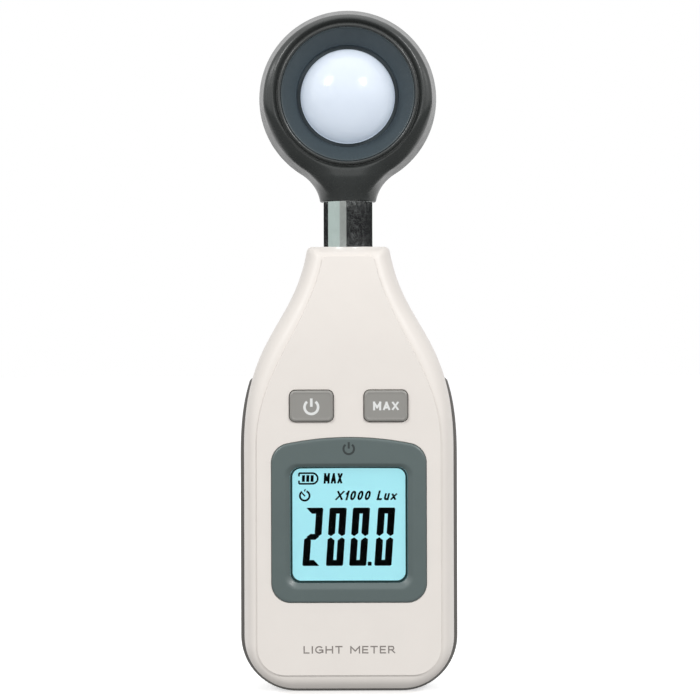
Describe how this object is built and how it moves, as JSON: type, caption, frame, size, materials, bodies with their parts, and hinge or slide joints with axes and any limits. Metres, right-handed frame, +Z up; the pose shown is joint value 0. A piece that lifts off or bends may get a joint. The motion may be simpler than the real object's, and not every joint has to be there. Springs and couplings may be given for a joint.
{
  "type": "handheld light meter",
  "caption": "Slim upright hand meter: ivory case with lit display and two keys, chrome neck, and a swivelling round head with a white light-sensing dome.",
  "frame": {"origin": "centre of the case's flat foot, at the lowest point of the rear cover, with the meter standing upright", "axes": "+Z up along the meter's length, -Y out of the face with the display, +X to the right of somebody reading the display"},
  "size_m": [0.0526, 0.0288, 0.1659],
  "materials": {
    "front_plastic": "ivory moulded plastic, fine satin texture",
    "rear_plastic": "dark grey moulded plastic, fine texture",
    "bezel_plastic": "dark grey-green moulded plastic, satin",
    "button_plastic": "mid grey moulded plastic with printed symbols",
    "window": "clear polished plastic window",
    "lcd": "liquid-crystal display lit pale cyan with black segments",
    "backlight": "milky light guide",
    "elastomer": "dark elastomer",
    "holder_plastic": "natural moulded plastic",
    "board": "green solder mask",
    "chip_plastic": "black moulding compound",
    "plated_steel": "nickel-plated steel",
    "chrome": "mirror-bright chrome plating",
    "cell_sleeve": "printed cell sleeve, no marks",
    "red_insulation": "red lead insulation",
    "black_insulation": "black lead insulation",
    "label_film": "blank silver-grey label film",
    "head_plastic": "black satin plastic with a soft sheen",
    "dish_plastic": "very dark blue-grey plastic",
    "opal_plastic": "white translucent diffuser plastic",
    "filter_glass": "green-tinted correction filter"
  },
  "bodies": {
    "root": {"front_cover": "front_plastic", "rear_cover": "rear_plastic", "lcd_bezel": "bezel_plastic", "lcd_window": "window", "lcd_panel": "lcd", "lcd_backlight": "backlight", "zebra_strip_upper": "elastomer", "zebra_strip_lower": "elastomer", "lcd_holder": "holder_plastic", "sensor_plug": "holder_plastic", "main_board": "board", "controller_chip": "chip_plastic", "power_switch": "plated_steel", "max_switch": "plated_steel", "board_capacitor": "plated_steel", "battery_contact_positive": "plated_steel", "battery_contact_negative": "plated_steel", "battery_link_top": "plated_steel", "battery_link_bottom": "plated_steel", "battery_spring_1": "plated_steel", "battery_spring_2": "plated_steel", "battery_spring_3": "plated_steel", "case_screw_1": "plated_steel", "case_screw_2": "plated_steel", "case_screw_3": "plated_steel", "case_screw_4": "plated_steel", "board_screw_1": "plated_steel", "board_screw_2": "plated_steel", "board_screw_3": "plated_steel", "board_screw_4": "plated_steel", "battery_1": "cell_sleeve", "battery_2": "cell_sleeve", "battery_3": "cell_sleeve", "battery_lead_red": "red_insulation", "battery_lead_black": "black_insulation", "sensor_lead_lower": "black_insulation", "rating_plate": "label_film"},
    "sensor_head": {"neck_tube": "chrome", "swivel_collar": "plated_steel", "friction_washer": "elastomer", "sensor_lead_upper": "black_insulation", "head_front_shell": "head_plastic", "head_rear_shell": "head_plastic", "head_screw_1": "plated_steel", "head_screw_2": "plated_steel", "sensor_dish": "dish_plastic", "diffuser_dome": "opal_plastic", "sensor_spacer": "holder_plastic", "optical_filter": "filter_glass", "photodiode": "chip_plastic", "sensor_board": "board"},
    "power_key": {"power_button": "button_plastic", "power_switch_plunger": "chip_plastic"},
    "max_key": {"max_button": "button_plastic", "max_switch_plunger": "chip_plastic"},
    "door": {"battery_door": "rear_plastic"}
  },
  "joints": [
    {"name": "head_swivel", "type": "hinge", "parent": "root", "child": "sensor_head", "pos_m": [0, 0, 0.1077], "axis": [0, 0, 1], "range_deg": [-90, 180]},
    {"name": "power_key_press", "type": "slide", "parent": "root", "child": "power_key", "axis": [0, 1, 0], "range_m": [0, 0.0006], "stiffness_N_per_m": 1500},
    {"name": "max_key_press", "type": "slide", "parent": "root", "child": "max_key", "axis": [0, 1, 0], "range_m": [0, 0.0006], "stiffness_N_per_m": 1500},
    {"name": "battery_door_hinge", "type": "hinge", "parent": "root", "child": "door", "pos_m": [0, 0.0139, 0.0616], "axis": [1, 0, 0], "range_deg": [0, 75]}
  ]
}
